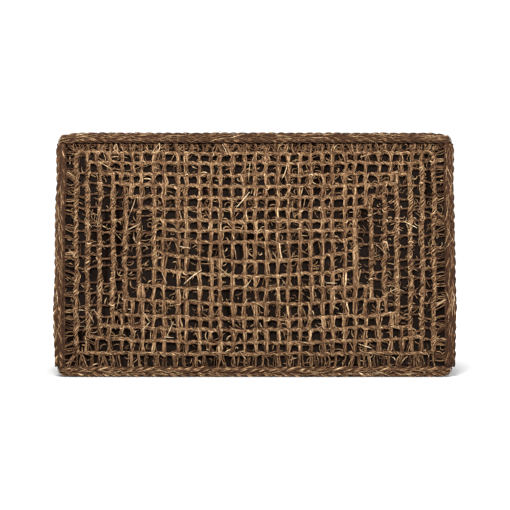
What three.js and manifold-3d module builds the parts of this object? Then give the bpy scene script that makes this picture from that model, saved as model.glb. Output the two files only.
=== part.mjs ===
// A storage trunk: a timber frame with stained plywood walls, clad in knotted fibre-rope netting
// that is edged with a three-strand plait, and a flat lid on two butt hinges.
// Millimetres, +Z up, +X along the width, the front at -Y. The origin is the middle of the footprint.
import * as THREE from 'three';
import { mergeVertices } from 'three/addons/utils/BufferGeometryUtils.js';
import Module from 'manifold-3d';

const wasm = await Module();
wasm.setup();

// Overall size, over the plaits and the hinge knuckles.
const trunk = { width: 760, depth: 460, height: 465 };

// Clearances.
const clearance = 0.3; // between two pieces that touch
const seam = 1; // between the rim of the body and the underside of the lid

// Woven skin. A net has rings of slots between its ropes, and each slot is crossed by rungs.
const plait = { diameter: 18, sides: 12, lift: 2 };
const net = { thickness: 10, rings: 3, firstSlot: 24, pitch: 52, slotWidth: 16, slotLength: 70, rung: 12 };

// Timber.
const wallThickness = 4;
const floorThickness = 5;
const postSide = 28;
const railHeight = 30;
const lidBoardThickness = 8;
const batten = { width: 34, height: 14, spacing: 400, endGap: 6 };

// Glides under the posts.
const glide = { radius: 11, height: 4, chamfer: 1, shankRadius: 1.5, shankLength: 14 };

// Butt hinges and their screws.
const hinge = {
  spacing: 460,
  width: 60,
  leafThickness: 1.8,
  leafGap: 0.3,
  knuckles: 5,
  knuckleRadius: 4,
  knuckleGap: 0.4,
  pinRadius: 2,
  pinHeadRadius: 3.2,
  pinHeadHeight: 1.5,
  standOff: 1,
  endInset: 4,
};
const screw = { headRadius: 3.4, headHeight: 1.6, shankRadius: 1.5, tip: 1.5, spacing: 34 };
const bodyScrewLength = 16;
const lidScrewLength = 6.5;
const roundSides = 16;

// Heights.
const hingeZ = trunk.height - plait.diameter - clearance - hinge.leafThickness - hinge.leafGap / 2;
const bodyTop = hingeZ - seam / 2;
const lidBottom = hingeZ + seam / 2;
const frameBottom = glide.height;
const skinBottom = plait.lift + plait.diameter + clearance;

// The skin's outer planes. The hinge knuckles stand behind the back one.
const hingeY = trunk.depth / 2 - hinge.knuckleRadius;
const skinFront = -trunk.depth / 2;
const skinBack = hingeY - hinge.knuckleRadius - hinge.standOff;
const skinDepth = skinBack - skinFront;
const skinMiddle = (skinBack + skinFront) / 2;

// Depths below the skin's outer plane. The corner of two walls clears the round corner plait.
const plaitRadius = plait.diameter / 2;
const wallFace = plaitRadius * (1 + Math.SQRT1_2) + 2 * clearance;
const netFace = wallFace - clearance - net.thickness;
const frameFace = wallFace + wallThickness + clearance;
const frameInner = frameFace + postSide;

// Places on the hinges, as distances in front of the pin.
const leafStart = hinge.knuckleRadius + hinge.knuckleGap;
const leafEnd = hingeY - skinBack + frameInner - hinge.endInset;
const screwLine = hingeY - skinBack + frameFace + postSide / 2;
const hingePlaces = [
  { side: 'left', x: -hinge.spacing / 2 },
  { side: 'right', x: hinge.spacing / 2 },
];
const screwPlaces = [
  { mark: 'a', x: -screw.spacing / 2 },
  { mark: 'b', x: screw.spacing / 2 },
];

// The four sides, each with its own frame: x along it, y inwards from the skin, z up.
const sides = [
  { name: 'front', span: trunk.width, turn: 0, x: 0, y: skinFront, long: true },
  { name: 'right', span: skinDepth, turn: Math.PI / 2, x: trunk.width / 2, y: skinMiddle, long: false },
  { name: 'back', span: trunk.width, turn: Math.PI, x: 0, y: skinBack, long: true },
  { name: 'left', span: skinDepth, turn: -Math.PI / 2, x: -trunk.width / 2, y: skinMiddle, long: false },
];

function fibre() {
  return new THREE.MeshStandardMaterial({ color: 0x664b35, roughness: 0.9, metalness: 0 });
}

function stainedWood() {
  return new THREE.MeshStandardMaterial({ color: 0x2b2622, roughness: 0.7, metalness: 0 });
}

function stainedPly() {
  return new THREE.MeshStandardMaterial({ color: 0x242222, roughness: 0.8, metalness: 0 });
}

function agedBrass() {
  return new THREE.MeshStandardMaterial({ color: 0x6e5a35, roughness: 0.45, metalness: 1 });
}

function blackPlastic() {
  return new THREE.MeshStandardMaterial({ color: 0x161616, roughness: 0.6, metalness: 0 });
}

function add(parent, name, geometry, material) {
  const mesh = new THREE.Mesh(geometry, material);
  mesh.name = name;
  parent.add(mesh);
  return mesh;
}

function block(x0, x1, y0, y1, z0, z1) {
  const geometry = new THREE.BoxGeometry(x1 - x0, y1 - y0, z1 - z0);
  return geometry.translate((x0 + x1) / 2, (y0 + y1) / 2, (z0 + z1) / 2);
}

// An outline in x and z, pushed inwards from one depth to another.
function slab(shape, y0, y1) {
  const geometry = new THREE.ExtrudeGeometry(shape, { depth: y1 - y0, bevelEnabled: false });
  return geometry.rotateX(Math.PI / 2).translate(0, y1, 0);
}

// A turned shape about Z, from the lowest point of its profile to the highest.
function turned(profile, segments) {
  const points = profile.map(([r, z]) => new THREE.Vector2(r, z));
  return new THREE.LatheGeometry(points, segments).rotateX(Math.PI / 2);
}

function toSolid(geometry) {
  const bare = geometry.clone();
  bare.deleteAttribute('normal');
  bare.deleteAttribute('uv');
  const merged = mergeVertices(bare);
  const triVerts = [];
  for (let i = 0; i < merged.index.count; i += 3) {
    const corners = [0, 1, 2].map((k) => merged.index.getX(i + k));
    if (new Set(corners).size === 3) triVerts.push(...corners);
  }
  const mesh = new wasm.Mesh({
    numProp: 3,
    vertProperties: new Float32Array(merged.attributes.position.array),
    triVerts: new Uint32Array(triVerts),
  });
  return new wasm.Manifold(mesh);
}

function toGeometry(solid) {
  const mesh = solid.getMesh();
  const geometry = new THREE.BufferGeometry();
  geometry.setAttribute('position', new THREE.BufferAttribute(mesh.vertProperties, mesh.numProp));
  geometry.setIndex(new THREE.BufferAttribute(mesh.triVerts, 1));
  geometry.computeVertexNormals();
  return geometry;
}

function joined(pieces) {
  return pieces.map(toSolid).reduce((whole, piece) => whole.add(piece));
}

function cut(solid, cutters) {
  return cutters.map(toSolid).reduce((left, cutter) => left.subtract(cutter), solid);
}

// A rectangle whose top edge is let down for the hinge leaves.
function wallOutline(half, low, high, notches) {
  const shape = new THREE.Shape();
  shape.moveTo(-half, low);
  shape.lineTo(half, low);
  shape.lineTo(half, high);
  for (const notch of [...notches].sort((a, b) => b.x - a.x)) {
    shape.lineTo(notch.x + notch.half, high);
    shape.lineTo(notch.x + notch.half, high - notch.depth);
    shape.lineTo(notch.x - notch.half, high - notch.depth);
    shape.lineTo(notch.x - notch.half, high);
  }
  shape.lineTo(-half, high);
  shape.closePath();
  return shape;
}

// The slots along one line of a ring: as many equal ones as keep each under the slot length.
function slotRow(from, to) {
  const count = Math.ceil((to - from + net.rung) / (net.slotLength + net.rung));
  const step = (to - from + net.rung) / count;
  return Array.from({ length: count }, (_, i) => [from + i * step, from + (i + 1) * step - net.rung]);
}

// Concentric rings of slots for a net whose outline is `half` either side of the middle and from low to high.
function slotBlocks(half, low, high, depth) {
  const middle = (low + high) / 2;
  const slot = (x0, x1, z0, z1) => block(x0, x1, depth[0] - 1, depth[1] + 1, middle + z0, middle + z1);
  const slots = [];
  for (let ring = 0; ring < net.rings; ring += 1) {
    const inset = net.firstSlot + ring * net.pitch;
    const x = half - inset;
    const z = (high - low) / 2 - inset;
    for (const [x0, x1] of slotRow(-x, x)) {
      slots.push(slot(x0, x1, z - net.slotWidth, z), slot(x0, x1, -z, -z + net.slotWidth));
    }
    const reach = z - net.slotWidth - net.rung;
    for (const [z0, z1] of slotRow(-reach, reach)) {
      slots.push(slot(x - net.slotWidth, x, z0, z1), slot(-x, -x + net.slotWidth, z0, z1));
    }
  }
  return slots;
}

function netGeometry(half, low, high, depth, notches) {
  const plain = slab(wallOutline(half, low, high, notches), ...depth);
  return toGeometry(cut(toSolid(plain), slotBlocks(half, low, high, depth)));
}

// A straight length of plait along one side, mitred where it meets the next side's.
function mitredPlait(span, centreZ) {
  const circle = new THREE.Shape();
  for (let i = 0; i < plait.sides; i += 1) {
    const angle = (i / plait.sides) * 2 * Math.PI;
    const y = plaitRadius + plaitRadius * Math.cos(angle);
    const z = centreZ + plaitRadius * Math.sin(angle);
    if (i === 0) circle.moveTo(y, z);
    else circle.lineTo(y, z);
  }
  circle.closePath();
  const geometry = new THREE.ExtrudeGeometry(circle, { depth: 1, bevelEnabled: false });
  const at = geometry.attributes.position;
  for (let i = 0; i < at.count; i += 1) {
    const y = at.getX(i);
    const end = at.getZ(i) < 0.5 ? -1 : 1;
    at.setXYZ(i, end * (span / 2 - y - clearance), y, at.getY(i));
  }
  return geometry;
}

// A countersunk screw with its head's flat at z = 0 and its point down. `room` makes its hole.
function screwGeometry(length, room) {
  const head = screw.headRadius + room;
  const shank = screw.shankRadius + room;
  const profile = [
    [0, -length - room],
    [shank, -length + screw.tip - room],
    [shank, -screw.headHeight - room],
    [head, room > 0 ? -room / 2 : 0],
  ];
  if (room > 0) profile.push([head, 1]);
  profile.push([0, room > 0 ? 1 : 0]);
  return turned(profile, roundSides);
}

function leafNotches() {
  const leafBottom = hingeZ - hinge.leafGap / 2 - hinge.leafThickness;
  const depth = bodyTop - leafBottom + clearance;
  return hingePlaces.map(({ x }) => ({ x, half: hinge.width / 2 + clearance, depth }));
}

function sideGroup(side) {
  const group = new THREE.Group();
  group.position.set(side.x, side.y, 0);
  group.rotation.z = side.turn;
  return group;
}

function topRail(side, half, notches) {
  const shape = wallOutline(half, bodyTop - railHeight, bodyTop, notches);
  const plain = slab(shape, frameFace, frameInner);
  if (!notches.length) return plain;
  const headZ = hingeZ - hinge.leafGap / 2;
  const holes = notches.flatMap((notch) =>
    screwPlaces.map((place) => {
      const hole = screwGeometry(bodyScrewLength, clearance);
      return hole.translate(notch.x + place.x, frameFace + postSide / 2, headZ);
    }),
  );
  return toGeometry(cut(toSolid(plain), holes));
}

function buildSide(side) {
  const group = sideGroup(side);
  const notches = side.name === 'back' ? leafNotches() : [];

  const wallHalf = side.span / 2 - (side.long ? wallFace : frameFace);
  const wall = wallOutline(wallHalf, skinBottom, bodyTop, notches);
  add(group, `wall_panel_${side.name}`, slab(wall, wallFace, wallFace + wallThickness), stainedPly());

  const netHalf = side.span / 2 - plait.diameter - clearance;
  const netDepth = [netFace, netFace + net.thickness];
  const ropes = netGeometry(netHalf, skinBottom, bodyTop, netDepth, notches);
  add(group, `rope_net_${side.name}`, ropes, fibre());

  const railHalf = side.span / 2 - frameInner - clearance;
  const lowRail = block(-railHalf, railHalf, frameFace, frameInner, frameBottom, frameBottom + railHeight);
  add(group, `bottom_rail_${side.name}`, lowRail, stainedWood());
  add(group, `top_rail_${side.name}`, topRail(side, railHalf, notches), stainedWood());

  add(group, `bottom_plait_${side.name}`, mitredPlait(side.span, plait.lift + plaitRadius), fibre());
  return group;
}

function buildCorner(name, signX, y, signY) {
  const group = new THREE.Group();
  group.position.set(signX * (trunk.width / 2), y, 0);

  const plaitLength = bodyTop - skinBottom;
  const rope = new THREE.CylinderGeometry(plaitRadius, plaitRadius, plaitLength, plait.sides);
  const cornerPlait = add(group, `corner_plait_${name}`, rope.rotateX(Math.PI / 2), fibre());
  cornerPlait.position.set(-signX * plaitRadius, -signY * plaitRadius, skinBottom + plaitLength / 2);

  const middle = frameFace + postSide / 2;
  const half = postSide / 2;
  const hole = turned(
    [
      [0, -1],
      [glide.shankRadius + clearance, -1],
      [glide.shankRadius + clearance, glide.shankLength + clearance],
      [0, glide.shankLength + clearance],
    ],
    roundSides,
  );
  const post = cut(toSolid(block(-half, half, -half, half, 0, bodyTop - frameBottom)), [hole]);
  const postMesh = add(group, `corner_post_${name}`, toGeometry(post), stainedWood());
  postMesh.position.set(-signX * middle, -signY * middle, frameBottom);

  const foot = turned(
    [
      [0, 0],
      [glide.radius - glide.chamfer, 0],
      [glide.radius, glide.chamfer],
      [glide.radius, glide.height - clearance],
      [glide.shankRadius, glide.height - clearance],
      [glide.shankRadius, glide.height + glide.shankLength],
      [0, glide.height + glide.shankLength],
    ],
    roundSides,
  );
  const footMesh = add(group, `glide_${name}`, foot, blackPlastic());
  footMesh.position.set(-signX * middle, -signY * middle, 0);
  return group;
}

function buildFloor() {
  const halfX = trunk.width / 2 - frameFace - clearance;
  const halfY = skinDepth / 2 - frameFace - clearance;
  const notch = postSide;
  const shape = new THREE.Shape();
  shape.moveTo(-halfX + notch, -halfY);
  shape.lineTo(halfX - notch, -halfY);
  shape.lineTo(halfX - notch, -halfY + notch);
  shape.lineTo(halfX, -halfY + notch);
  shape.lineTo(halfX, halfY - notch);
  shape.lineTo(halfX - notch, halfY - notch);
  shape.lineTo(halfX - notch, halfY);
  shape.lineTo(-halfX + notch, halfY);
  shape.lineTo(-halfX + notch, halfY - notch);
  shape.lineTo(-halfX, halfY - notch);
  shape.lineTo(-halfX, -halfY + notch);
  shape.lineTo(-halfX + notch, -halfY + notch);
  shape.closePath();
  const geometry = new THREE.ExtrudeGeometry(shape, { depth: floorThickness, bevelEnabled: false });
  return geometry.translate(0, skinMiddle, frameBottom + railHeight + clearance);
}

// A hinge leaf about its pin at the origin. The body's leaf lies below the pin, the lid's above it.
function leafGeometry(up, first) {
  const length = (hinge.width + hinge.knuckleGap) / hinge.knuckles;
  const z = [up * (hinge.leafGap / 2), up * (hinge.leafGap / 2 + hinge.leafThickness)].sort((a, b) => a - b);
  const pieces = [block(-hinge.width / 2, hinge.width / 2, -leafEnd, -leafStart, z[0], z[1])];
  for (let i = first; i < hinge.knuckles; i += 2) {
    const x0 = -hinge.width / 2 + i * length;
    const x1 = x0 + length - hinge.knuckleGap;
    pieces.push(block(x0, x1, -leafStart - hinge.leafThickness, 0, z[0], z[1]));
    const barrel = new THREE.CylinderGeometry(hinge.knuckleRadius, hinge.knuckleRadius, x1 - x0, roundSides);
    pieces.push(barrel.rotateZ(Math.PI / 2).translate((x0 + x1) / 2, 0, 0));
  }
  const boreRadius = hinge.pinRadius + clearance;
  const bore = new THREE.CylinderGeometry(boreRadius, boreRadius, 2 * hinge.width, roundSides);
  const holes = screwPlaces.map((place) => {
    const hole = screwGeometry(bodyScrewLength, clearance);
    if (up > 0) hole.rotateX(Math.PI);
    return hole.translate(place.x, -screwLine, up * (hinge.leafGap / 2));
  });
  return toGeometry(cut(joined(pieces), [bore.rotateZ(Math.PI / 2), ...holes]));
}

function pinGeometry() {
  const half = hinge.width / 2 + clearance;
  const profile = [
    [0, -half - hinge.pinHeadHeight],
    [hinge.pinHeadRadius, -half - hinge.pinHeadHeight],
    [hinge.pinHeadRadius, -half],
    [hinge.pinRadius, -half],
    [hinge.pinRadius, half],
    [hinge.pinHeadRadius, half],
    [hinge.pinHeadRadius, half + hinge.pinHeadHeight],
    [0, half + hinge.pinHeadHeight],
  ];
  return turned(profile, roundSides).rotateY(Math.PI / 2);
}

function hingeGroup(place) {
  const group = new THREE.Group();
  group.position.set(place.x, hingeY, hingeZ);
  return group;
}

function addScrews(group, owner, side, up, length) {
  for (const place of screwPlaces) {
    const mesh = add(group, `${owner}_screw_${side}_${place.mark}`, screwGeometry(length, 0), agedBrass());
    mesh.position.set(place.x, -screwLine, up * (hinge.leafGap / 2));
    if (up > 0) mesh.rotation.x = Math.PI;
  }
}

function buildBodyHinge(place) {
  const group = hingeGroup(place);
  add(group, `hinge_body_leaf_${place.side}`, leafGeometry(-1, 0), agedBrass());
  add(group, `hinge_pin_${place.side}`, pinGeometry(), agedBrass());
  addScrews(group, 'body', place.side, -1, bodyScrewLength);
  return group;
}

function buildLidHinge(place) {
  const group = hingeGroup(place);
  add(group, `hinge_lid_leaf_${place.side}`, leafGeometry(1, 1), agedBrass());
  addScrews(group, 'lid', place.side, 1, lidScrewLength);
  return group;
}

function lidBoard(half, y0, y1) {
  const headZ = hingeZ + hinge.leafGap / 2;
  const pocketTop = headZ + hinge.leafThickness + clearance;
  const reach = hinge.width / 2 + clearance;
  const cutters = hingePlaces.flatMap(({ x }) => [
    block(x - reach, x + reach, hingeY - leafEnd - clearance, y1 + 1, lidBottom - 1, pocketTop),
    ...screwPlaces.map((place) => {
      const hole = screwGeometry(lidScrewLength, clearance).rotateX(Math.PI);
      return hole.translate(x + place.x, hingeY - screwLine, headZ);
    }),
  ]);
  const plain = block(-half, half, y0, y1, lidBottom, lidBottom + lidBoardThickness);
  return toGeometry(cut(toSolid(plain), cutters));
}

// The same net, laid flat on the board.
function lidNet(half, halfY) {
  const flat = netGeometry(half, -halfY, halfY, [0, net.thickness], []).rotateX(-Math.PI / 2);
  return flat.translate(0, skinMiddle, lidBottom + lidBoardThickness + clearance + net.thickness);
}

function buildLid() {
  const group = new THREE.Group();
  const half = trunk.width / 2 - plait.diameter - clearance;
  const y0 = skinFront + plait.diameter + clearance;
  const y1 = skinBack - plait.diameter - clearance;
  add(group, 'lid_board', lidBoard(half, y0, y1), stainedPly());
  add(group, 'rope_net_lid', lidNet(half, (y1 - y0) / 2), fibre());

  for (const side of sides) {
    const edge = sideGroup(side);
    add(edge, `lid_plait_${side.name}`, mitredPlait(side.span, trunk.height - plaitRadius), fibre());
    group.add(edge);
  }

  const battenTop = lidBottom - clearance;
  const from = skinFront + frameInner + batten.endGap;
  const to = skinBack - frameInner - batten.endGap;
  for (const { side, x } of [
    { side: 'left', x: -batten.spacing / 2 },
    { side: 'right', x: batten.spacing / 2 },
  ]) {
    const x0 = x - batten.width / 2;
    const strip = block(x0, x0 + batten.width, from, to, battenTop - batten.height, battenTop);
    add(group, `lid_batten_${side}`, strip, stainedWood());
  }
  for (const place of hingePlaces) group.add(buildLidHinge(place));
  return group;
}

function buildBody() {
  const group = new THREE.Group();
  for (const side of sides) group.add(buildSide(side));
  group.add(buildCorner('front_left', -1, skinFront, -1));
  group.add(buildCorner('front_right', 1, skinFront, -1));
  group.add(buildCorner('back_left', -1, skinBack, 1));
  group.add(buildCorner('back_right', 1, skinBack, 1));
  add(group, 'floor_panel', buildFloor(), stainedPly());
  for (const place of hingePlaces) group.add(buildBodyHinge(place));
  return group;
}

const model = new THREE.Group();
model.add(buildBody());
model.add(buildLid());

export default model;
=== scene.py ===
import math

import bpy
import numpy as np
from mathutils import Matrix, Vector


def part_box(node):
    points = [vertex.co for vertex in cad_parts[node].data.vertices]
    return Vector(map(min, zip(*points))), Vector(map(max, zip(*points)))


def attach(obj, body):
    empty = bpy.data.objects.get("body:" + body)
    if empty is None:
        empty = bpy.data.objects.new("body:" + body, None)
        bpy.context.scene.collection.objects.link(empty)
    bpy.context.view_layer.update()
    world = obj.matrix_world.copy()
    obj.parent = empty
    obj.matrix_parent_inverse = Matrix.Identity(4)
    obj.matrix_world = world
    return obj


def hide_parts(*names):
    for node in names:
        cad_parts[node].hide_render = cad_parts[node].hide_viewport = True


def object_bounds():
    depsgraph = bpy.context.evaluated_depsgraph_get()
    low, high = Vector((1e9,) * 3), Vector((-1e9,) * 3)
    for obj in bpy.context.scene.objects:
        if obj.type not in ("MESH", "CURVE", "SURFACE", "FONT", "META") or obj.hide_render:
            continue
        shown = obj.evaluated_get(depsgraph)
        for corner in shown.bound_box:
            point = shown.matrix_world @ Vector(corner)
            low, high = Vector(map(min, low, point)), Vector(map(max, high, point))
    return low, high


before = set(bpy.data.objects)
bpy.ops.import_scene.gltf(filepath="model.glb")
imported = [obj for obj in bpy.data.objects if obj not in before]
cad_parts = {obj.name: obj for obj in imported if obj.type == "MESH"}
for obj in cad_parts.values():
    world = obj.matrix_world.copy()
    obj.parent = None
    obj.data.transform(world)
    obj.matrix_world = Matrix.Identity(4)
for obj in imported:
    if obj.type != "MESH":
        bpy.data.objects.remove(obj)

# The box of the imported model, which sets the camera and where the lamps aim.
cad_low, cad_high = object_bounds()
trunk_middle = (cad_low + cad_high) / 2

# ---------------------------------------------------------------------------------------------
# Camera: a long lens, square on to the front and level with the middle of the trunk, which
# takes up a little over three quarters of the picture's width.
camera_distance = 3.2
camera_sensor = 36
trunk_share = 0.7853
picture_width = (cad_high.x - cad_low.x) / trunk_share
bpy.ops.object.select_all(action="DESELECT")
bpy.ops.object.camera_add(
    location=(0, cad_low.y - camera_distance, trunk_middle.z), rotation=(math.radians(90), 0, 0)
)
camera = bpy.context.object
camera.name = "studio_camera"
camera.data.sensor_width = camera_sensor
camera.data.lens = camera_sensor * camera_distance / picture_width
bpy.context.scene.camera = camera

# ---------------------------------------------------------------------------------------------
# Studio: a wide floor that glows white away from the trunk, under a white sky. A soft lamp
# stands above the front, a weaker one low on the right opens the shadows, and one lights the back.
def linear(red, green, blue):
    """A colour given in the usual 0 to 255 steps, as the linear numbers that shaders take."""
    parts = [c / 255 for c in (red, green, blue)]
    return (*(c / 12.92 if c <= 0.04045 else ((c + 0.055) / 1.055) ** 2.4 for c in parts), 1.0)


def new_node(tree, kind, **values):
    """Adds a shader node and sets its sockets by name, by link or by value."""
    node = tree.nodes.new(kind)
    for name, value in values.items():
        socket = node.inputs[name.replace("_", " ")]
        if isinstance(value, bpy.types.NodeSocket):
            tree.links.new(value, socket)
        else:
            socket.default_value = value
    return node


def new_material(name):
    material = bpy.data.materials.new(name)
    material.use_nodes = True
    return material, material.node_tree, material.node_tree.nodes["Principled BSDF"]


floor_size = 60
bpy.ops.object.select_all(action="DESELECT")
bpy.ops.mesh.primitive_plane_add(size=floor_size, location=(0, 0, 0))
floor = bpy.context.object
floor.name = "studio_floor"
floor_paint, floor_tree, floor_shader = new_material("matt_white_floor")
floor_grain = new_node(floor_tree, "ShaderNodeTexNoise", Scale=40.0, Detail=2.0)
floor_bump = new_node(floor_tree, "ShaderNodeBump", Strength=0.02, Height=floor_grain.outputs[0])
floor_tree.links.new(floor_bump.outputs[0], floor_shader.inputs["Normal"])
floor_shader.inputs["Base Color"].default_value = (0.40, 0.40, 0.40, 1)
floor_shader.inputs["Roughness"].default_value = 0.9
floor_shader.inputs["Specular IOR Level"].default_value = 0.1
floor_shader.inputs["Emission Color"].default_value = (1, 1, 1, 1)
floor_place = new_node(floor_tree, "ShaderNodeTexCoord").outputs["Object"]
floor_distance = new_node(floor_tree, "ShaderNodeVectorMath")
floor_distance.operation = "LENGTH"
floor_tree.links.new(floor_place, floor_distance.inputs[0])
floor_glow = new_node(
    floor_tree, "ShaderNodeMapRange", Value=floor_distance.outputs["Value"], From_Min=0.4,
    From_Max=1.2, To_Min=0.03, To_Max=1.0
)
floor_tree.links.new(floor_glow.outputs[0], floor_shader.inputs["Emission Strength"])
floor.data.materials.append(floor_paint)

sky = bpy.data.worlds.new("white_studio")
sky.use_nodes = True
sky.node_tree.nodes["Background"].inputs["Color"].default_value = (1, 1, 1, 1)
seen = new_node(sky.node_tree, "ShaderNodeLightPath").outputs["Is Camera Ray"]
sky_strength = new_node(sky.node_tree, "ShaderNodeMapRange", Value=seen, To_Min=0.85, To_Max=1.1)
sky.node_tree.links.new(
    sky_strength.outputs[0], sky.node_tree.nodes["Background"].inputs["Strength"]
)
bpy.context.scene.world = sky
bpy.context.scene.view_settings.view_transform = "Standard"


def soft_lamp(name, place, target, size, watts):
    aim = (Vector(target) - Vector(place)).to_track_quat("-Z", "Y").to_euler()
    bpy.ops.object.light_add(type="AREA", location=place, rotation=aim)
    lamp = bpy.context.object
    lamp.name = name
    lamp.data.size = size
    lamp.data.energy = watts


soft_lamp("key_lamp", (-0.3, -3.0, 2.1), trunk_middle, 0.8, 380)
soft_lamp("fill_lamp", (1.6, -3.0, 1.2), trunk_middle, 1.4, 55)
soft_lamp("back_lamp", (0.5, 3.2, 2.0), trunk_middle, 1.6, 170)

# ---------------------------------------------------------------------------------------------
# Timber frame: four posts, eight rails and the two battens under the lid, planed softwood
# stained almost black, with their edges eased by a touch of sandpaper.
sanded_edge = 0.0007


def ease_edges(node, width):
    """Merges a CAD node's loose corners and rounds its edges, as modifiers."""
    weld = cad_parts[node].modifiers.new("merge_corners", "WELD")
    weld.merge_threshold = 0.00001
    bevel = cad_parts[node].modifiers.new("eased_edges", "BEVEL")
    bevel.width = width
    bevel.segments = 2
    bevel.limit_method = "ANGLE"
    bevel.angle_limit = math.radians(35)


def wood_material(name, dark, light, grain_scale, roughness, shine):
    """Stained wood: long grain along the board, pores, and stain taken unevenly."""
    material, tree, shader = new_material(name)
    place = new_node(tree, "ShaderNodeTexCoord").outputs["Object"]
    stretched = new_node(tree, "ShaderNodeMapping", Vector=place, Scale=grain_scale).outputs[0]
    grain = new_node(
        tree, "ShaderNodeTexNoise", Vector=stretched, Scale=1.0, Detail=6.0, Roughness=0.6, Distortion=0.6
    )
    stain = new_node(tree, "ShaderNodeTexNoise", Vector=place, Scale=9.0, Detail=3.0)
    mixed = new_node(tree, "ShaderNodeMath")
    tree.links.new(grain.outputs[0], mixed.inputs[0])
    tree.links.new(stain.outputs[0], mixed.inputs[1])
    mixed.operation = "ADD"
    ramp = new_node(tree, "ShaderNodeValToRGB", Fac=mixed.outputs[0])
    ramp.color_ramp.elements[0].position = 0.75
    ramp.color_ramp.elements[0].color = dark
    ramp.color_ramp.elements[1].position = 1.0
    ramp.color_ramp.elements[1].color = light
    tree.links.new(ramp.outputs[0], shader.inputs["Base Color"])
    smooth, coarse = roughness - 0.12, roughness + 0.1
    rough = new_node(
        tree, "ShaderNodeMapRange", Value=grain.outputs[0], To_Min=smooth, To_Max=coarse
    )
    tree.links.new(rough.outputs[0], shader.inputs["Roughness"])
    bump = new_node(tree, "ShaderNodeBump", Strength=0.35, Distance=0.0006, Height=grain.outputs[0])
    tree.links.new(bump.outputs[0], shader.inputs["Normal"])
    shader.inputs["Specular IOR Level"].default_value = shine
    return material


def dress(node, material):
    """Gives a CAD node its finish."""
    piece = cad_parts[node]
    piece.data.materials.clear()
    piece.data.materials.append(material)


stain_dark = linear(27, 22, 19)
stain_light = linear(58, 47, 39)
upright_wood = wood_material("stained_wood_upright", stain_dark, stain_light, (160, 160, 7), 0.62, 0.1)
across_wood = wood_material("stained_wood_across", stain_dark, stain_light, (7, 160, 160), 0.62, 0.1)
inward_wood = wood_material("stained_wood_inward", stain_dark, stain_light, (160, 7, 160), 0.62, 0.1)
for corner in ("front_left", "front_right", "back_left", "back_right"):
    dress(f"corner_post_{corner}", upright_wood)
    ease_edges(f"corner_post_{corner}", sanded_edge)
rail_woods = {"front": across_wood, "back": across_wood, "left": inward_wood, "right": inward_wood}
for side, wood in rail_woods.items():
    for level in ("bottom", "top"):
        dress(f"{level}_rail_{side}", wood)
        ease_edges(f"{level}_rail_{side}", sanded_edge)
for side in ("left", "right"):
    dress(f"lid_batten_{side}", inward_wood)
    ease_edges(f"lid_batten_{side}", sanded_edge)

# ---------------------------------------------------------------------------------------------
# Walls, floor and lid board: thin plywood stained charcoal, nailed to the frame. Its colour is
# set darker and browner than the charcoal stain, painted shade for the openings of the netting,
# where it shows as near black.
ply_stain_and_shade_dark = linear(4, 2, 1)
ply_stain_and_shade_light = linear(15, 11, 9)
wall_ply = wood_material("charcoal_ply_and_shade_upright", ply_stain_and_shade_dark, ply_stain_and_shade_light, (90, 90, 5), 0.7, 0.0)
flat_ply = wood_material("charcoal_ply_and_shade_flat", ply_stain_and_shade_dark, ply_stain_and_shade_light, (5, 90, 90), 0.7, 0.0)
for side in ("front", "back", "left", "right"):
    dress(f"wall_panel_{side}", wall_ply)
    ease_edges(f"wall_panel_{side}", sanded_edge / 2)
for node in ("floor_panel", "lid_board"):
    dress(node, flat_ply)
    ease_edges(node, sanded_edge / 2)

# ---------------------------------------------------------------------------------------------
# Glides: black moulded plastic discs, nailed into the feet of the posts.
glide_plastic, glide_tree, glide_shader = new_material("black_moulded_plastic")
glide_place = new_node(glide_tree, "ShaderNodeTexCoord").outputs["Object"]
glide_grain = new_node(glide_tree, "ShaderNodeTexNoise", Vector=glide_place, Scale=900.0, Detail=2.0)
glide_tone = new_node(
    glide_tree, "ShaderNodeMapRange", Value=glide_grain.outputs[0], To_Min=0.45, To_Max=0.65
)
glide_bump = new_node(
    glide_tree, "ShaderNodeBump", Strength=0.2, Distance=0.0002, Height=glide_grain.outputs[0]
)
glide_tree.links.new(glide_tone.outputs[0], glide_shader.inputs["Roughness"])
glide_tree.links.new(glide_bump.outputs[0], glide_shader.inputs["Normal"])
glide_shader.inputs["Base Color"].default_value = linear(26, 26, 27)
for corner in ("front_left", "front_right", "back_left", "back_right"):
    dress(f"glide_{corner}", glide_plastic)

# ---------------------------------------------------------------------------------------------
# Rope nets on the four walls and the lid: twisted ropes of dry plant fibre laid in seven
# rings one inside the other, with shorter rows across the middle. Three-strand rungs are hitched
# over each row, and a ladder of loose bundles ties the outer ring to the plait.
mm = 0.001
turn = 2 * np.pi


def unit(vectors):
    return vectors / np.maximum(np.linalg.norm(vectors, axis=-1, keepdims=True), 1e-12)


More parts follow.
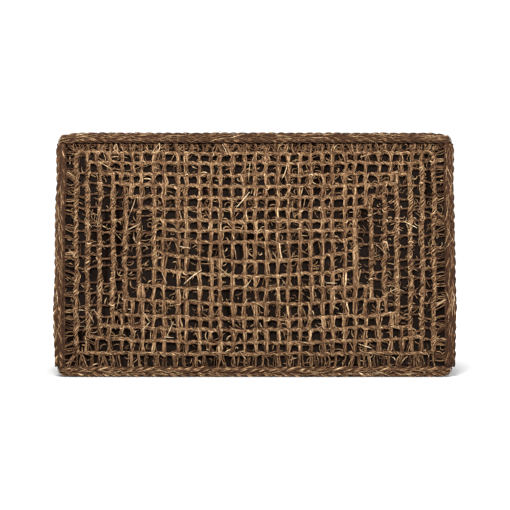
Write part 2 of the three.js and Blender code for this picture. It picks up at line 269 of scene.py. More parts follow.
def skin_strands(lines, radii, closed, sides):
    """Skins centre lines, (strands, points, 3), with round tubes. Returns vertices, faces and,
    for each vertex, where it would lie on a straight strand, so that fibres follow the strand."""
    strands, count, _ = lines.shape
    if closed:
        ahead = unit(np.roll(lines, -1, 1) - np.roll(lines, 1, 1))
    else:
        ahead = unit(np.gradient(lines, axis=1))
    across = np.zeros_like(lines)
    start = np.cross(ahead[:, 0], (0.31, 0.58, 0.75))
    for i in range(count):
        start = unit(start - (start * ahead[:, i]).sum(1, keepdims=True) * ahead[:, i])
        across[:, i] = start
    other = np.cross(ahead, across)
    if closed:
        last = unit(start - (start * ahead[:, 0]).sum(1, keepdims=True) * ahead[:, 0])
        slip = np.arctan2((last * other[:, 0]).sum(1), (last * across[:, 0]).sum(1))
        back = (-slip[:, None] * np.arange(count) / count)[..., None]
        across, other = (
            across * np.cos(back) + other * np.sin(back),
            other * np.cos(back) - across * np.sin(back),
        )
    angle = turn * np.arange(sides) / sides
    ring = across[:, :, None] * np.cos(angle)[:, None] + other[:, :, None] * np.sin(angle)[:, None]
    vertices = lines[:, :, None] + radii[..., None, None] * ring
    steps = np.linalg.norm(np.diff(lines, axis=1), axis=2)
    along = np.concatenate([np.zeros((strands, 1)), steps.cumsum(1)], axis=1)
    laid = [radii[..., None] * np.cos(angle), radii[..., None] * np.sin(angle)]
    laid = np.stack([*laid, np.repeat(along[..., None], sides, 2)], axis=3)
    index = np.arange(strands * count * sides).reshape(strands, count, sides)
    here = index if closed else index[:, :-1]
    there = np.roll(index, -1, 1) if closed else index[:, 1:]
    quads = np.stack([here, np.roll(here, -1, 2), np.roll(there, -1, 2), there], axis=3)
    caps = [] if closed else [*index[:, 0, ::-1].tolist(), *index[:, -1].tolist()]
    return vertices.reshape(-1, 3), quads.reshape(-1, 4).tolist() + caps, laid.reshape(-1, 3)


def make_strands(name, batches, material, rng):
    """One mesh piece out of batches of (lines, radii, tones, closed, sides)."""
    vertices, faces, straight, tones = [], [], [], []
    first = 0
    for lines, radii, tone, closed, sides in batches:
        found, around, laid = skin_strands(lines, radii, closed, sides)
        shift = np.repeat(rng.uniform(0, 9, (len(lines), 3)), len(found) // len(lines), axis=0)
        vertices.append(found)
        faces += [[corner + first for corner in face] for face in around]
        straight.append(laid + shift * (0.01, 0.01, 1))
        tones.append(np.repeat(np.broadcast_to(tone, radii.shape).ravel(), sides))
        first += len(found)
    bpy.ops.object.select_all(action="DESELECT")
    bpy.ops.object.add(type="MESH")
    piece = bpy.context.object
    piece.name = name
    piece.data.name = name
    piece.data.from_pydata(np.concatenate(vertices).tolist(), [], faces)
    laid = piece.data.attributes.new("laid_straight", "FLOAT_VECTOR", "POINT")
    laid.data.foreach_set("vector", np.concatenate(straight).astype(np.float32).ravel())
    tone = piece.data.attributes.new("strand_tone", "FLOAT", "POINT")
    tone.data.foreach_set("value", np.concatenate(tones).astype(np.float32))
    piece.data.materials.append(material)
    bpy.ops.object.shade_smooth()
    return piece


def fibre_material(name, stops):
    """Dry plant fibre: fine streaks along the strand, darker lengths, and a dull surface. The strand tone
    that it reads also carries painted shade and painted light.
    """
    material, tree, shader = new_material(name)
    laid = new_node(tree, "ShaderNodeAttribute")
    laid.attribute_name = "laid_straight"
    tone = new_node(tree, "ShaderNodeAttribute")
    tone.attribute_name = "strand_tone"
    total = tone.outputs["Fac"]
    waves = (((1100.0, 1100.0, 110.0), 0.22), ((340.0, 340.0, 210.0), 0.22))
    for scale, swing in waves:
        stretched = new_node(tree, "ShaderNodeMapping", Vector=laid.outputs["Vector"], Scale=scale)
        streak = new_node(
            tree, "ShaderNodeTexNoise", Vector=stretched.outputs[0], Scale=1.0, Detail=4.0, Roughness=0.6
        )
        share = new_node(
            tree, "ShaderNodeMapRange", Value=streak.outputs[0], From_Min=0.3, From_Max=0.7,
            To_Min=0.35 - swing, To_Max=0.35 + swing
        )
        part = new_node(tree, "ShaderNodeMath")
        tree.links.new(share.outputs[0], part.inputs[0])
        tree.links.new(total, part.inputs[1])
        part.operation = "ADD"
        total = part.outputs[0]
    ramp = new_node(tree, "ShaderNodeValToRGB", Fac=total)
    while len(ramp.color_ramp.elements) < len(stops):
        ramp.color_ramp.elements.new(0.5)
    for element, (position, colour) in zip(ramp.color_ramp.elements, stops):
        element.position = position
        element.color = colour
    tree.links.new(ramp.outputs[0], shader.inputs["Base Color"])
    rough = new_node(tree, "ShaderNodeMapRange", Value=streak.outputs[0], To_Min=0.75, To_Max=0.95)
    tree.links.new(rough.outputs[0], shader.inputs["Roughness"])
    bump = new_node(tree, "ShaderNodeBump", Strength=0.8, Distance=0.0008, Height=streak.outputs[0])
    tree.links.new(bump.outputs[0], shader.inputs["Normal"])
    shader.inputs["Specular IOR Level"].default_value = 0.06
    return material


# Dark brown where a strand is stained or lies deep and is painted with shade, straw where it stands proud
# and is painted with light.
fibre_stops = (
    (0.10, linear(42, 26, 16)),
    (0.38, linear(88, 64, 43)),
    (0.60, linear(125, 100, 73)),
    (0.80, linear(154, 132, 102)),
    (1.00, linear(198, 178, 146)),
)
rope_fibre = fibre_material("twisted_rope_fibre", fibre_stops)

# Where the ropes lie on a net, from its edges. The same on every face of the trunk.
upright_ropes = np.array([21.6, 43.4, 66.2, 91.5, 114.8, 140.6, 170.5]) * mm
top_rows = np.array([17, 37, 57.5, 78, 101, 122.5, 146]) * mm
bottom_rows = np.array([26, 55, 77, 100, 129, 152, 186]) * mm
top_sag = np.array([3, 2, 4, 5, 4, 4, 3]) * mm
bottom_sag = np.array([3, 11, 9, 10, 11, 4, 15]) * mm
middle_rows = np.array([0.36, 0.61, 0.81])
middle_sag = np.array([20, 7, 4]) * mm
rung_pitch = 21.3 * mm
side_rung_pitch = 23 * mm
ladder_pitch = 11.5 * mm
rope_step = 3.2 * mm
wisp_spacing = 11.5 * mm
ladder_depth = 15 * mm
rings = len(upright_ropes)


def waver(rng, s, total, waves):
    """A smooth random wave along a length, which meets itself after `total`."""
    return sum(
        rng.uniform(0.4, 1.0) * np.sin(turn * (max(round(total / wave), 1) * s / total + rng.random()))
        for wave in waves
    )


class Net:
    """The layout of one net in its own plane: u along it, v up it, and w out of the wall."""

    def __init__(self, node, along, up, out, slump, seed):
        low, high = (np.array(corner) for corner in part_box(node))
        self.axes = [np.array(axis, float) for axis in (along, up, out)]
        self.origin = np.where(sum(self.axes) > 0, low, high)
        self.width, self.height = (float(np.abs(axis) @ (high - low)) for axis in self.axes[:2])
        self.rng = np.random.default_rng(seed)
        self.slump = slump
        self.phases = self.rng.uniform(0, turn, (64, 3))
        grid = np.arange(-40, 41) * rung_pitch
        grid = grid[np.abs(grid) < self.width / 2 - 6 * mm]
        self.grid = self.width / 2 + grid + self.rng.normal(0, 1.7 * mm, len(grid))
        self.arches = self.rng.uniform(0.5, 1.5, len(grid))

    def place(self, points):
        """Points in u, v and w, put where they lie on the trunk."""
        return self.origin + sum(points[..., i, None] * axis for i, axis in enumerate(self.axes))

    def wander(self, which, s, size, wave):
        """How far one rope strays from its true line at s, the same each time it is asked."""
        a, b, c = self.phases[which]
        x = turn * s / wave
        return size * (np.sin(x + a) + 0.6 * np.sin(1.9 * x + b) + 0.35 * np.sin(4.1 * x + c))

    def dip(self, u, ring):
        """How far a row has sagged at u, as a share of its sag in the middle."""
        reach = np.clip((u - self.width / 2) / (self.width / 2 - upright_ropes[ring]), -1, 1)
        return self.slump * (1 - reach**2)

    def top_row(self, ring, u):
        sag = top_sag[ring] * self.dip(u, ring)
        return self.height - top_rows[ring] - sag + self.wander(ring, u, 0.9 * mm, 0.17)

    def bottom_row(self, ring, u):
        sag = bottom_sag[ring] * self.dip(u, ring)
        return bottom_rows[ring] - sag + self.wander(ring + 8, u, 1.1 * mm, 0.15)

    def middle_row(self, row, u):
        low, high = bottom_rows[-1], self.height - top_rows[-1]
        sag = middle_sag[row] * self.dip(u, rings - 1)
        return low + middle_rows[row] * (high - low) - sag + self.wander(row + 16, u, 0.9 * mm, 0.13)

    def upright(self, ring, v, side):
        """The distance of an upright rope from the net's edge. It leans out towards the bottom."""
        lean = 0.7 * mm * ring * (v / self.height - 0.5)
        return upright_ropes[ring] + lean + self.wander(ring + 24 + 8 * side, v, 0.9 * mm, 0.16)

    def arch(self, u, size):
        """Between two rungs a row stands up in a low arch."""
        share = np.interp(u, self.grid, np.arange(len(self.grid)))
        part = share - np.floor(share)
        inside = (u > self.grid[0]) & (u < self.grid[-1])
        size = size * self.arches[share.astype(int)]
        return np.where(inside, size * (0.6 - (2 * part - 1) ** 2), 0)

    def ring_line(self, ring):
        """The closed centre line of one ring in u and v, and how upright it runs at each point."""
        low_v, high_v = bottom_rows[ring], self.height - top_rows[ring]
        low_u, high_u = upright_ropes[ring], self.width - upright_ropes[ring]
        v = np.linspace(low_v, high_v, int((high_v - low_v) / rope_step), endpoint=False)
        u = np.linspace(low_u, high_u, int((high_u - low_u) / rope_step), endpoint=False)
        down, back = high_v + low_v - v, high_u + low_u - u
        left, right = self.upright(ring, v, 0), self.width - self.upright(ring, down, 1)
        rows = self.top_row(ring, u), self.bottom_row(ring, back)
        line = [np.concatenate([left, u, right, back]), np.concatenate([v, rows[0], down, rows[1]])]
        upright = np.repeat([1.0, 0.0, 1.0, 0.0], [len(v), len(u), len(v), len(u)])
        arches = [0 * v, self.arch(u, 4.0 * mm), 0 * v, self.arch(back, 1.8 * mm)]
        line = sum(np.roll(line, shift, 1) for shift in (-2, -1, 0, 1, 2)) / 5
        line[1] += np.concatenate(arches)
        upright = sum(np.roll(upright, shift) for shift in range(-4, 5)) / 9
        return line.T, upright


def line_frame(line, closed):
    """The direction across a line in u and v, and the length along it, at each point."""
    step = np.roll(line, -1, 0) - np.roll(line, 1, 0) if closed else np.gradient(line, axis=0) * 2
    ahead = unit(step)
    return np.column_stack([-ahead[:, 1], ahead[:, 0]]), np.cumsum(np.linalg.norm(step, axis=1) / 2)


def painted_depth_shade(w):
    """Painted shade and light by depth: fibre lying deep against the wall is painted darker, for the shade
    that falls there, and fibre standing proud is painted lighter.
    """
    return 0.030 * (w / mm - 7.0)


def twisted_rope(line, upright, closed, rng):
    """Four plies wound round a core painted near black as shade, looser and thicker where the rope stands
    upright.
    """
    aside, s = line_frame(line, closed)
    total = s[-1]
    pitch = (20 + 4 * upright) * mm
    wound = np.cumsum(np.gradient(s) / pitch)
    if closed:
        wound *= max(round(wound[-1]), 1) / wound[-1]
    loose = 1 + 0.18 * waver(rng, s, total, (0.034, 0.058, 0.090))
    line = line + aside * (0.5 * mm * waver(rng, s, total, (0.022, 0.041)))[:, None]
    lines, radii, tones = [], [], []
    for ply in range(4):
        wave = waver(rng, s, total, (0.011, 0.017, 0.029))
        phase = turn * (wound + ply / 4) + 0.60 * waver(rng, s, total, (0.016, 0.031))
        offset = (2.4 + 1.2 * upright) * mm * (loose + 0.08 * wave)
        out = (5.6 + 0.5 * upright) * mm + 0.8 * offset * np.sin(phase)
        lines.append(np.column_stack([line + aside * (offset * np.cos(phase))[:, None], out]))
        thick = (1.22 + 0.26 * upright) * mm * rng.uniform(0.8, 1.2)
        radii.append(thick * (1 + 0.16 * wave + rng.normal(0, 0.06, len(s))))
        tone = rng.normal(-0.41, 0.05) + 0.09 * waver(rng, s, total, (0.011, 0.023))
        tone -= 0.07 * upright
        # The ply on top is painted lighter and the one behind it darker: painted light and painted shade.
        tones.append(tone + painted_depth_shade(out) + 0.10 * np.sin(phase))
    # The core is painted near black: painted shade for the inside of the rope, seen between the plies.
    core = np.column_stack([line, np.full(len(s), 5.0 * mm)])[None, ::2]
    thick = (1.7 + 0.9 * upright)[None, ::2] * mm
    plies = np.array(lines), np.array(radii), np.array(tones), closed, 4
    return plies, (core, thick, np.full(thick.shape, -0.85), closed, 4)


def rope_wisps(line, upright, closed, every, rng):
    """Single fibres that have lifted from a rope but still wind round it."""
    aside, s = line_frame(line, closed)
    count = int(s[-1] / every)
    reach = 7
    start = rng.integers(0, len(s) - (0 if closed else 2 * reach), count)
    at = (start[:, None] + np.arange(reach) * rng.integers(1, 3, (count, 1))) % len(s)
    t = np.linspace(-1, 1, reach)
    hand = rng.choice((1, 1, -1), (count, 1))
    phase = rng.uniform(0, turn, (count, 1)) + hand * rng.uniform(0.6, 2.4, (count, 1)) * t
    lift = 1 + rng.uniform(0.0, 0.7, (count, 1)) * np.abs(t + rng.uniform(-0.6, 0.6, (count, 1))) ** 2
    offset = (3.2 + 1.5 * upright[at]) * mm * lift * rng.uniform(0.85, 1.15, (count, 1))
    w = (5.4 * mm + offset * np.abs(np.sin(phase)) * 0.9).clip(1.5 * mm, 11 * mm)
    flat = line[at] + aside[at] * (offset * np.cos(phase))[..., None]
    radii = rng.uniform(0.34, 0.62, (count, 1)) * mm * (1.15 - 0.75 * t**2)
    tones = rng.normal(-0.36, 0.13, (count, 1)) + painted_depth_shade(w)
    return np.concatenate([flat, w[..., None]], axis=2), radii, tones, False, 3


def shaped(points, places):
    """Spreads control points, (strands, controls, 3), into smooth lines with more points."""
    last = points.shape[1] - 1
    t = np.linspace(0, last, places)
    at = np.minimum(t.astype(int), last - 1)
    x = (t - at)[None, :, None]
    slope = np.gradient(points, axis=1)
    return (
        (2 * x**3 - 3 * x**2 + 1) * points[:, at]
        + (x**3 - 2 * x**2 + x) * slope[:, at]
        + (3 * x**2 - 2 * x**3) * points[:, at + 1]
        + (x**3 - x**2) * slope[:, at + 1]
    )


def strands_through(points, places, radius, tone, rng, sides=6, taper=0.65):
    """Smooth strands through control points, uneven in thickness and narrower at the ends."""
    lines = shaped(np.array(points), places)
    radii = radius * rng.uniform(0.82, 1.18, (len(lines), 1)) * (1 + rng.normal(0, 0.08, lines.shape[:2]))
    radii[:, [0, -1]] *= taper
    tones = np.array(tone)[:, None] + painted_depth_shade(lines[..., 2]) + rng.normal(0, 0.03, lines.shape[:2])
    return lines, radii, tones, False, sides


def hitched_rungs(net, places):
    """Rungs of three strands that hang from one row, hitched over or under it, and tuck behind
    the next one."""
    rng = net.rng
    points, tones = [], []
    for u, high, low in places:
        u, drift = u + rng.normal(0, 0.8 * mm), rng.normal(0, 2.0 * mm)
        front = rng.uniform(7.6, 9.8) if rng.random() < 0.45 else rng.uniform(3.0, 5.0)
        for ply in (-1, rng.normal(0, 0.3), 1):
            a = ply * rng.uniform(1.8, 3.2) * mm
            b = ply * rng.uniform(1.0, 3.2) * mm
            bow = rng.normal(0, 0.9 * mm, 3)
            rise, fall = high + rng.uniform(1.8, 4.0) * mm, low + rng.uniform(-1, 2) * mm
            points.append(
                [
                    (u + a * 0.5, high - 1.5 * mm, 1.4 * mm),
                    (u + a * 1.2, rise, 3.6 * mm),
                    (u + a * 1.3 + bow[0], high + 1.8 * mm, front * mm),
                    (u + a * 0.8, high - 3.6 * mm, rng.uniform(6.4, 8.2) * mm),
                    (u + b + drift * 0.4 + bow[1], 0.5 * (high + low), rng.uniform(5.4, 7.6) * mm),
                    (u + b + drift * 0.8 + bow[2], 0.2 * high + 0.8 * low, rng.uniform(4.6, 6.8) * mm),
                    (u - b * 0.7 + drift, fall, rng.uniform(2.0, 4.0) * mm),
                    (u - a * 0.7 + drift, low - 4.0 * mm, 2.2 * mm),
                ]
            )
            tones.append(rng.normal(-0.40, 0.13))
    return strands_through(points, 9, 1.52 * mm, tones, rng, sides=4)


def rung_fans(net, places):
    """Loose ends that spread from the head or foot of a rung into the openings beside it."""
    rng = net.rng
    points, tones = [], []
    for u, high, low in places:
        foot = rng.random() < 0.5
        for _ in range(4):
            narrow, broad = rng.normal(0, 1.6 * mm), rng.normal(0, 4.2 * mm)
            ends = (narrow, broad) if foot else (broad, narrow)
            middle = (narrow + broad) * rng.uniform(0.3, 0.7) + rng.normal(0, 1.0 * mm)
            depths = rng.uniform(1.5, 7.5) + rng.normal(0, 1.2, 3)
            heights = (high - rng.uniform(-1, 3) * mm, (high + low) / 2, low + rng.uniform(-1, 3) * mm)
            across = (ends[0], middle, ends[1])
            points.append([(u + x, y, max(w, 0.8) * mm) for x, y, w in zip(across, heights, depths)])
            tones.append(rng.normal(-0.38, 0.13))
    return strands_through(points, 5, 1.15 * mm, tones, rng, sides=3)


def knot_curls(net, places):
    """A thin end of the rung, turned round its head and tucked in, at most of the crossings."""
    rng = net.rng
    points, tones = [], []
    for u, high, _ in places:
        if rng.random() < 0.12:
            continue
        hand = rng.choice((-1, 1))
        size = rng.uniform(2.2, 4.0) * mm
        start = rng.uniform(0, turn)
        swept = start + hand * np.linspace(0, rng.uniform(2.0, 3.6), 6)
        lean = rng.normal(0, 1.0 * mm, 2)
        x = u + lean[0] + size * 1.4 * np.cos(swept)
        y = high + lean[1] + size * np.sin(swept)
        w = (7.6 + 1.5 * np.sin(np.linspace(0, np.pi, 6)) + rng.normal(0, 0.6)) * mm
        points.append(np.column_stack([x, y, w]))
        tones.append(rng.normal(-0.34, 0.12))
    return strands_through(points, 7, 1.15 * mm, tones, rng, sides=4)


def side_rungs(net, crossings):
    """Thin cords between two upright ropes, set back behind them, and painted darker than the other rungs
    as painted shade.
    """
    rng = net.rng
    points, tones = [], []
    for v, left, right in crossings:
        fall = rng.normal(0, 2.5 * mm)
        depth = rng.uniform(2.2, 4.4)
        for ply in (-1, 1):
            apart = ply * rng.uniform(0.9, 2.1) * mm * np.array([1, 0.5, -0.3, -0.9, 0.3])
            u = np.linspace(left, right, 5)
            rise = v + np.linspace(0, fall, 5) - 1.2 * mm * np.array([0, 0.7, 1, 0.7, 0])
            points.append(np.column_stack([u, rise + apart, np.full(5, depth * mm)]))
            tones.append(rng.normal(-0.46, 0.08))
    return strands_through(points, 7, 1.7 * mm, tones, rng, sides=4)


def ladder_strands(net):
    """Loose bundles between the plait and the first rope, on all four edges."""
    rng = net.rng
    points, tones = [], []

    def bundle(start, end, spread):
        tone = rng.normal(-0.40, 0.10)
        for _ in range(rng.integers(3, 6)):
            a = np.array(start) + rng.normal(0, spread, 2) * (1, 0.3)
            b = np.array(end) + rng.normal(0, spread, 2)
            middle = (a + b) / 2 + rng.normal(0, 2.3 * mm, 2)
            depths = (rng.uniform(3.5, 8.5), rng.uniform(2.5, 7.5), rng.uniform(4.0, 7.5))
            points.append([(*p, w * mm) for p, w in zip((a, middle, b), depths)])
            tones.append(tone + rng.normal(0, 0.07))

    under_plait = 5 * mm
    low_u, high_u = upright_ropes[0], net.width - upright_ropes[0]
    for u in np.arange(8 * mm, net.width - 6 * mm, ladder_pitch):
        u += rng.normal(0, 2.5 * mm)
        inner = np.clip(u + rng.normal(0, 4.5 * mm), low_u, high_u)
        bundle((u, net.height), (inner, net.top_row(0, inner) + 1 * mm), 1.6 * mm)
        inner = np.clip(u + rng.normal(0, 4.5 * mm), low_u, high_u)
        bundle((u, -under_plait), (inner, net.bottom_row(0, inner)), 2 * mm)
    for v in np.arange(14 * mm, net.height - 14 * mm, ladder_pitch):
        for side in (0, 1):
            at = v + rng.normal(0, 3 * mm)
            far = at + rng.normal(2 * mm, 8 * mm)
            rope, edge = net.upright(0, at, side), -under_plait
            if side:
                rope, edge = net.width - rope, net.width + under_plait
            bundle((edge, far), (rope, at), 2 * mm)
    return strands_through(points, 6, 0.95 * mm, tones, rng, sides=3)


def loose_fibres(net, count, length, bend, depth, radius, tone, headings, low=0.0):
    """Single dry fibres that have worked loose and lie over the ropes or in the openings, from
    `low` up to the net's top edge."""
    rng = net.rng
    reach = 6
    t = np.linspace(-0.5, 0.5, reach)
    size = rng.gamma(9, length / 9, (count, 1))
    angle = rng.choice(headings, (count, 1)) + rng.normal(0, 0.5, (count, 1))
    angle = angle + rng.normal(0, bend, (count, 1)) * t
    u = rng.uniform(0, net.width, (count, 1)) + np.cumsum(np.cos(angle), 1) * size / reach
    v = rng.uniform(low, net.height, (count, 1)) + np.cumsum(np.sin(angle), 1) * size / reach
    w = rng.uniform(*depth, (count, 1)) + rng.normal(0, 1.4, (count, 1)) * t
    w = w + rng.normal(0, 0.2, (count, reach))
    u, v = u.clip(-4 * mm, net.width + 4 * mm), v.clip(-4 * mm, net.height - 1 * mm)
    radii = radius * rng.uniform(0.7, 1.3, (count, 1)) * (1.1 - 2.2 * t**2)
    tones = rng.normal(tone, 0.12, (count, 1)) + painted_depth_shade(w * mm)
    return np.stack([u, v, w * mm], axis=2), radii, tones, False, 3


def make_net(side, body, net):
    """One net as three pieces: its ropes, its rungs with the ladder, and its loose fibres."""
    rng = net.rng
    ropes, wisps = [], []
    runs = [(*net.ring_line(ring), True) for ring in range(rings)]
    for row in range(len(middle_rows)):
        u = np.arange(upright_ropes[-1], net.width - upright_ropes[-1], rope_step)
        line = np.column_stack([u, net.middle_row(row, u) + net.arch(u, 2.4 * mm)])
        runs.append((line, np.zeros(len(u)), False))
    for line, upright, closed in runs:
        ropes += twisted_rope(line, upright, closed, rng)
        wisps.append(rope_wisps(line, upright, closed, wisp_spacing, rng))

    places = []
    for u in net.grid:
        near = [ring for ring in range(rings) if upright_ropes[ring] < min(u, net.width - u)]
        rows = [net.top_row(ring, u) for ring in near]
        lows = [net.bottom_row(ring, u) for ring in near[::-1]]
        if len(near) == rings:
            columns = [rows + [net.middle_row(row, u) for row in (2, 1, 0)] + lows]
        else:
            columns = [rows, lows]
        for column in columns:
            places += [(u, high, low) for high, low in zip(column, column[1:])]
    for ring in range(rings - 1):
        for side_index in (0, 1):
            inner = upright_ropes[ring + 1]
            u = net.width - inner if side_index else inner
            places.append((u, net.top_row(ring, u), net.height - top_rows[ring + 1]))
            places.append((u, bottom_rows[ring + 1], net.bottom_row(ring, u)))
    crossings = []
    for v in np.arange(bottom_rows[0], net.height, side_rung_pitch):
        for ring in range(rings - 1):
            if bottom_rows[ring] + 14 * mm < v < net.height - top_rows[ring] - 8 * mm:
                for side_index in (0, 1):
                    at = v + rng.normal(0, 3.5 * mm)
                    ends = [net.upright(r, at, side_index) for r in (ring, ring + 1)]
                    crossings.append((at, *((net.width - end) if side_index else end for end in ends)))
    side_knots = [(u, at, at) for at, *ends in crossings for u in ends]
    rungs = [hitched_rungs(net, places), rung_fans(net, places), side_rungs(net, crossings)]
    rungs.append(ladder_strands(net))
    area = net.width * net.height
    level, steep = (0.0, np.pi), (np.pi / 2,)
    tangled = (*level, *steep)
    slanted = (1.1, 2.0, 0.4, 2.7)
    ladder_foot = net.height - ladder_depth
    straws, curls, bedding = (int(area * per_area) for per_area in (170, 2600, 3000))
    packing = int(net.width * 520)
    loose = [
        knot_curls(net, places + side_knots),
        loose_fibres(net, straws, 30 * mm, 0.2, (8.5, 10.8), 0.62 * mm, -0.10, slanted),
        loose_fibres(net, curls, 16 * mm, 2.4, (2.5, 8.0), 0.58 * mm, -0.32, tangled),
        loose_fibres(net, bedding, 18 * mm, 1.8, (0.6, 3.6), 1.05 * mm, -0.14, tangled),
        loose_fibres(net, packing, 17 * mm, 1.8, (1.5, 5.5), 1.15 * mm, -0.42, tangled, ladder_foot),
    ]
    pieces = []
    for part, batches in (("ropes", ropes), ("rungs", rungs), ("loose_fibres", wisps + loose)):
        placed = [(net.place(lines), *rest) for lines, *rest in batches]
        pieces.append(make_strands(f"{side}_net_{part}", placed, rope_fibre, rng))
    for piece in pieces:
        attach(piece, body)
    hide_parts(f"rope_net_{side}")


make_net("front", "trunk_body", Net("rope_net_front", (1, 0, 0), (0, 0, 1), (0, -1, 0), 1.0, 11))
make_net("right", "trunk_body", Net("rope_net_right", (0, 1, 0), (0, 0, 1), (1, 0, 0), 0.6, 12))
make_net("back", "trunk_body", Net("rope_net_back", (-1, 0, 0), (0, 0, 1), (0, 1, 0), 1.0, 13))
make_net("left", "trunk_body", Net("rope_net_left", (0, -1, 0), (0, 0, 1), (-1, 0, 0), 0.6, 14))
make_net("lid", "lid", Net("rope_net_lid", (1, 0, 0), (0, 1, 0), (0, 0, 1), 0.3, 15))

# ---------------------------------------------------------------------------------------------
# Plaits: a flat five-strand plait of fibre bundles up each corner, one right round the foot
# of the walls and one right round the lid. Each faces out of its edge, turned a little towards
# one of the two faces that meet there, and each strand is two bundles lying side by side.
plait_strands = 5
plait_pitch = 88 * mm
plait_swing = 8.0 * mm
plait_lift = 2.9 * mm
plait_tilt = math.radians(20)
bundle_radius = 1.5 * mm
bundle_spacing = 2.9 * mm
plait_step = 4.2 * mm
floor_gap = 1.7 * mm


def plait(centre, wide, face, bed, swell, shade, closed, rng):
    """Plaits the strands along a centre line. `wide` spans the plait's width at each point,
    `face` is the way that it faces and `swell` how full it is there. `shade` darkens or pales
    its fibre, painted shade or painted light for how the lamps fall on the plait. A core painted
    near black as shade fills it, and three cords painted dark as shade bed it against the
    trunk: `bed` is their line and the way to the trunk."""
    ahead = np.roll(centre, -1, 0) - centre if closed else np.gradient(centre, axis=0)
    s = np.cumsum(np.linalg.norm(ahead, axis=1))
    total = s[-1]
    turns = total / plait_pitch
    if closed:
        turns = round(turns)
    rate = turn * turns / total
    lines, radii, tones = [], [], []
    for strand in range(plait_strands):
        theta = rate * s + turn * strand / plait_strands
        swing = plait_swing * np.sin(theta)
        lift = plait_lift * np.sin(2 * theta)
        slant = plait_swing * rate * np.cos(theta)
        strand_tone = shade + 0.04 * waver(rng, s, total, (0.04, 0.11)) + rng.normal(0, 0.03)
        for bundle in (-0.5, 0.5):
            wave = waver(rng, s, total, (0.013, 0.023, 0.041))
            shift = bundle * bundle_spacing * (1 + 0.08 * wave) / np.sqrt(1 + slant**2)
            a = swing + shift
            b = lift + 0.3 * mm * wave
            along = -slant * shift
            side, proud = (a * swell)[:, None], (b * swell)[:, None]
            lines.append(centre + unit(ahead) * along[:, None] + wide * side + face * proud)
            radii.append(bundle_radius * swell * (1 + 0.09 * wave + rng.normal(0, 0.05, len(s))))
            # Bundles lying behind are painted darker and those on top lighter: painted shade and painted
            # light.
            tones.append(strand_tone - 0.70 + rng.normal(0, 0.14) + 0.09 * wave + 75.0 * b)
    plies = np.array(lines), np.array(radii), np.array(tones), closed, 5
    lines, radii, tones = [], [], []
    # The core is painted near black: painted shade inside the plait, seen between its bundles.
    for side in (-1, 0, 1):
        lines.append(centre + wide * (side * 4.8 * mm * swell)[:, None])
        radii.append(2.9 * mm * swell)
        tones.append(np.full(len(s), -0.95))
    bed_line, inward = bed
    beside = np.cross(unit(ahead), inward)
    # The bed cords are painted dark: painted shade for the slit between the plait and the trunk.
    for depth, side in ((5.4, 0.0), (6.6, -3.4), (6.6, 3.4)):
        wave = waver(rng, s, total, (0.019, 0.037))
        lines.append(bed_line + inward * depth * mm + beside * (side * mm + 0.4 * mm * wave)[:, None])
        radii.append(2.9 * mm * (1 + 0.10 * wave))
        tones.append(rng.normal(-0.74, 0.05) + 0.12 * wave)
    lines, radii, tones = (np.array(values)[:, ::2] for values in (lines, radii, tones))
    return plies, (lines, radii, tones, closed, 5)


def plait_wisps(centre, wide, face, every, rng):
    """Single fibres that have lifted from a plait."""
    total = plait_step * len(centre)
    count = int(total / every)
    reach = 8
    start = rng.integers(1, len(centre) - 2 * reach, count)
    at = start[:, None] + np.arange(reach)
    t = np.linspace(-1, 1, reach)
    a = rng.uniform(-7.5, 7.5, (count, 1)) + rng.normal(0, 3.4, (count, 1)) * t
    b = 4.6 - 0.028 * a**2 + rng.uniform(0, 1.6, (count, 1)) * np.abs(t)
    lines = centre[at] + wide[at] * (a * mm)[..., None] + face[at] * (b * mm)[..., None]
    radii = rng.uniform(0.36, 0.6, (count, 1)) * mm * (1.15 - 0.8 * t**2)
    tones = rng.normal(-0.30, 0.14, (count, 1))
    return lines, radii, np.broadcast_to(tones, radii.shape), False, 3


def make_plait(name, nodes, body, centre, wide, face, bed, swell, shade, closed, rng):
    """A plait with its lifted fibres as one piece, pressed flat where it would sink into the floor."""
    batches = [*plait(centre, wide, face, bed, swell, shade, closed, rng)]
    batches.append(plait_wisps(centre, wide, face, 7 * mm, rng))
    for lines, *_ in batches:
        lines[..., 2] = lines[..., 2].clip(floor_gap)
    piece = make_strands(name, batches, rope_fibre, rng)
    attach(piece, body)
    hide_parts(*nodes)


def rounded_loop(low, high, z, corner):
    """A closed level loop between two corners, with its own corners rounded."""
    points = []
    for i, ends in enumerate(((1, 1), (0, 1), (0, 0), (1, 0))):
        middle = [high[k] - corner if end else low[k] + corner for k, end in enumerate(ends)]
        for angle in np.linspace(i * np.pi / 2, (i + 1) * np.pi / 2, 6):
            points.append((middle[0] + corner * math.cos(angle), middle[1] + corner * math.sin(angle)))
    points = np.array(points + points[:1])
    lengths = np.concatenate([[0], np.cumsum(np.linalg.norm(np.diff(points, axis=0), axis=1))])
    at = np.linspace(0, lengths[-1], int(lengths[-1] / plait_step), endpoint=False)
    x, y = (np.interp(at, lengths, points[:, k]) for k in (0, 1))
    return np.column_stack([x, y, np.full(len(x), z)])


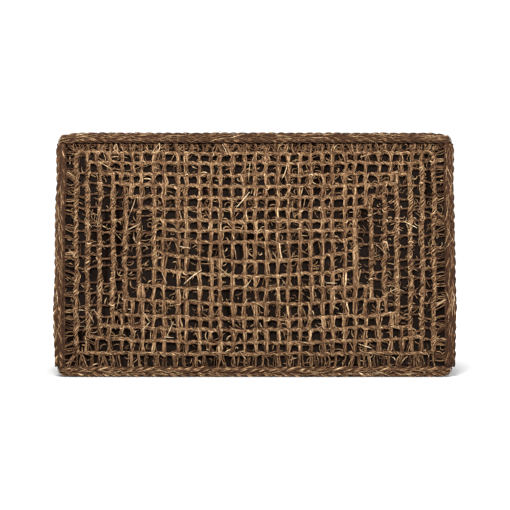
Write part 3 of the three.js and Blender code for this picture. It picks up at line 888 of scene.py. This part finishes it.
def level_plait(name, nodes, body, facing, drop, shade, seed):
    """A plait right round the trunk, which faces outwards and a little up or down. It is pulled
    in by `drop` at the corners, and lies a little lower or higher along the two ends."""
    rng = np.random.default_rng(seed)
    corners = np.array([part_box(node) for node in nodes])
    low, high = corners[:, 0].min(0), corners[:, 1].max(0)
    half = (high[2] - low[2]) / 2
    centre = rounded_loop(low[:2] + half, high[:2] - half, (low[2] + high[2]) / 2 - 0.5 * mm, 11 * mm)
    ahead = unit(np.roll(centre, -1, 0) - np.roll(centre, 1, 0))
    up = np.array((0.0, 0.0, facing))
    out = np.cross(ahead, (0.0, 0.0, 1.0))
    s = np.arange(len(centre)) * plait_step
    centre = centre + out * (0.5 * mm * waver(rng, s, len(s) * plait_step, (0.11, 0.19, 0.31)))[:, None]
    from_corner = np.abs(np.abs(centre[:, 0]) - high[0] + half) + np.abs(
        np.abs(centre[:, 1] - (low[1] + high[1]) / 2) - (high[1] - low[1]) / 2 + half
    )
    corner = np.exp(-((from_corner / (21 * mm)) ** 2))
    end = np.abs(ahead[:, 1]) ** 4
    swell = 1 - 0.10 * corner - 0.12 * end
    centre[:, 2] -= facing * (drop * corner + 1.5 * mm * end)
    face = out * math.cos(plait_tilt) + up * math.sin(plait_tilt)
    wide = up * math.cos(plait_tilt) - out * math.sin(plait_tilt)
    make_plait(name, nodes, body, centre, wide, face, (centre, -out), swell, shade, True, rng)


def corner_plait(corner, seed):
    """A plait up one corner, turned more to the front or back than to the end."""
    rng = np.random.default_rng(seed)
    low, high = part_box(f"corner_plait_{corner}")
    side = -1.0 if "left" in corner else 1.0
    depth = -1.0 if "front" in corner else 1.0
    z = np.arange(high.z, low.z - 4 * mm, -plait_step)
    bed = np.column_stack([np.full((len(z), 2), ((low.x + high.x) / 2, (low.y + high.y) / 2)), z])
    x = bed[:, 0] + side * (0.8 * mm * np.sin(z * 31 + seed) - 0.8 * mm)
    x -= side * 2.0 * mm * np.clip((z - 0.34) / 0.03, 0, 1)
    x += side * 4.6 * mm * np.exp(-(((z - 0.13) / 0.07) ** 2))
    centre = np.column_stack([x, bed[:, 1:]])
    out, across = np.array((0.0, depth, 0.0)), np.array((side, 0.0, 0.0))
    face = out * math.cos(plait_tilt) + across * math.sin(plait_tilt)
    wide = across * math.cos(plait_tilt) - out * math.sin(plait_tilt)
    inward = -(out + across) / math.sqrt(2)
    face, wide, inward = (np.tile(way, (len(z), 1)) for way in (face, wide, inward))
    nodes = [f"corner_plait_{corner}"]
    swell = 1 - 0.14 * np.clip((z - high.z + 12 * mm) / (12 * mm), 0, 1)
    name = f"{corner}_corner_plait"
    # The corner plaits are painted a little darker: painted shade to make up for the lamps.
    make_plait(name, nodes, "trunk_body", centre, wide, face, (bed, inward), swell, -0.13, False, rng)


for seed, corner in enumerate(("front_left", "front_right", "back_left", "back_right")):
    corner_plait(corner, 31 + seed)
around = ("front", "right", "back", "left")
foot_nodes = [f"bottom_plait_{side}" for side in around]
lid_nodes = [f"lid_plait_{side}" for side in around]
# The foot plait is painted paler and the lid plait darker: painted light and painted shade to make up for
# how the lamps fall on them.
level_plait("foot_plait", foot_nodes, "trunk_body", -1.0, 1.8 * mm, 0.08, 41)
level_plait("lid_edge_plait", lid_nodes, "lid", 1.0, 4.2 * mm, -0.12, 42)

# ---------------------------------------------------------------------------------------------
# Hinges: two butt hinges of aged brass at the back, each with its pin, and countersunk screws.
aged_brass, brass_tree, brass_shader = new_material("aged_brass")
brass_place = new_node(brass_tree, "ShaderNodeTexCoord").outputs["Object"]
tarnish = new_node(brass_tree, "ShaderNodeTexNoise", Vector=brass_place, Scale=120.0, Detail=5.0)
brass_ramp = new_node(brass_tree, "ShaderNodeValToRGB", Fac=tarnish.outputs[0])
brass_ramp.color_ramp.elements[0].position = 0.35
brass_ramp.color_ramp.elements[0].color = linear(84, 66, 38)
brass_ramp.color_ramp.elements[1].position = 0.65
brass_ramp.color_ramp.elements[1].color = linear(150, 122, 70)
brass_tree.links.new(brass_ramp.outputs[0], brass_shader.inputs["Base Color"])
brass_rough = new_node(brass_tree, "ShaderNodeMapRange", Value=tarnish.outputs[0], To_Min=0.55, To_Max=0.3)
brass_tree.links.new(brass_rough.outputs[0], brass_shader.inputs["Roughness"])
brass_shader.inputs["Metallic"].default_value = 1.0
for side in ("left", "right"):
    for node in (f"hinge_body_leaf_{side}", f"hinge_lid_leaf_{side}", f"hinge_pin_{side}"):
        dress(node, aged_brass)
    for owner in ("body", "lid"):
        for mark in ("a", "b"):
            dress(f"{owner}_screw_{side}_{mark}", aged_brass)
